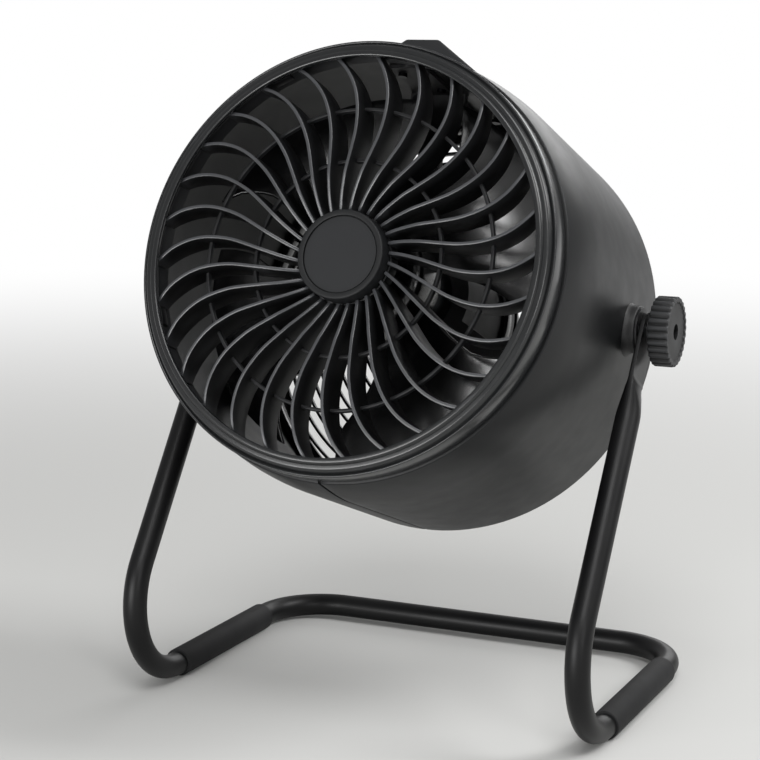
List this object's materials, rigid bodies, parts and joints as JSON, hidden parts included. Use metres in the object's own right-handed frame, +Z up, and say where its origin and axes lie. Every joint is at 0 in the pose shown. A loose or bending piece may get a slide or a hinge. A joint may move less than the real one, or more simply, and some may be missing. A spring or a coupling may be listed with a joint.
{
  "type": "portable camping fan",
  "caption": "Drum-shaped rechargeable fan with a curved-rib grille, tilting between clamp knobs on a bent tube stand.",
  "frame": {"origin": "on the floor, in the middle of the stored part's box", "axes": "+X along the two pivots, -Y the way the fan blows when level, +Z up from the floor"},
  "size_m": [0.3046, 0.2608, 0.381],
  "materials": {
    "stand_paint": "satin black powder coat",
    "foot_rubber": "soft matt",
    "washer_nylon": "plain",
    "knob_plastic": "fine texture",
    "screw_steel": "zinc plated",
    "insert_brass": "turned",
    "shell_plastic": "satin dark grey",
    "bezel_plastic": "satin dark grey",
    "grille_plastic": "satin grey",
    "cap_plastic": "satin grey",
    "blade_plastic": "gloss black",
    "frame_plastic": "moulded",
    "motor_steel": "plated sheet steel",
    "lamination_steel": "stacked sheet",
    "copper_wire": "enamelled copper",
    "bearing_steel": "ground",
    "holder_plastic": "plain",
    "cell_sleeve": "shrink sleeve",
    "nickel_strip": "plated strip",
    "board_green": "solder mask",
    "button_plastic": "satin",
    "light_guide": "clear milky",
    "wire_sleeve": "soft sleeve"
  },
  "bodies": {
    "stand": {"stand_tube": "stand_paint", "rubber_feet": "foot_rubber", "left_washer": "washer_nylon", "right_washer": "washer_nylon"},
    "rotor": {"motor_shaft": "bearing_steel", "rotor_core": "lamination_steel", "fan_blades": "blade_plastic", "shaft_nut": "screw_steel"},
    "left_knob_body": {"left_knob": "knob_plastic", "left_stud": "screw_steel"},
    "right_knob_body": {"right_knob": "knob_plastic", "right_stud": "screw_steel"},
    "power_button_body": {"power_button": "button_plastic"},
    "speed_button_body": {"speed_button": "button_plastic"},
    "head": {"left_pivot_boss": "shell_plastic", "right_pivot_boss": "shell_plastic", "left_insert": "insert_brass", "right_insert": "insert_brass", "left_shell": "shell_plastic", "right_shell": "shell_plastic", "joint_strips": "frame_plastic", "strip_screws": "screw_steel", "front_bezel": "bezel_plastic", "front_grille": "grille_plastic", "centre_cap": "cap_plastic", "cap_screw": "screw_steel", "rear_grille": "grille_plastic", "rear_grille_screws": "screw_steel", "motor_mount": "frame_plastic", "mount_screws": "screw_steel", "motor_can": "motor_steel", "motor_end_plate": "motor_steel", "motor_screws": "screw_steel", "motor_stator": "lamination_steel", "motor_windings": "copper_wire", "front_bearing": "bearing_steel", "rear_bearing": "bearing_steel", "battery_case": "frame_plastic", "battery_cover": "frame_plastic", "cover_screws": "screw_steel", "case_screws": "screw_steel", "cell_holders": "holder_plastic", "battery_cells": "cell_sleeve", "cell_straps": "nickel_strip", "battery_board": "board_green", "control_housing": "bezel_plastic", "control_screws": "screw_steel", "control_board": "board_green", "button_switches": "frame_plastic", "charge_lights": "light_guide", "charging_port": "bearing_steel", "wire_loom": "wire_sleeve"}
  },
  "joints": [
    {"name": "head_tilt", "type": "hinge", "parent": "stand", "child": "head", "pos_m": [0, 0.02742, 0.221], "axis": [-1, 0, 0], "range_deg": [-110, 160]},
    {"name": "blade_spin", "type": "hinge", "parent": "head", "child": "rotor", "pos_m": [0, -0.04114, 0.25074], "axis": [0, -0.9397, 0.342], "continuous": true},
    {"name": "left_knob_turn", "type": "hinge", "parent": "head", "child": "left_knob_body", "pos_m": [-0.145, 0.02742, 0.221], "axis": [-1, 0, 0], "range_deg": [0, 270]},
    {"name": "right_knob_turn", "type": "hinge", "parent": "head", "child": "right_knob_body", "pos_m": [0.145, 0.02742, 0.221], "axis": [1, 0, 0], "range_deg": [0, 270]},
    {"name": "power_button_press", "type": "slide", "parent": "head", "child": "power_button_body", "axis": [0, -0.342, -0.9397], "range_m": [0, 0.001], "stiffness_N_per_m": 400, "springref_m": -0.002},
    {"name": "speed_button_press", "type": "slide", "parent": "head", "child": "speed_button_body", "axis": [0, -0.342, -0.9397], "range_m": [0, 0.001], "stiffness_N_per_m": 400, "springref_m": -0.002}
  ]
}
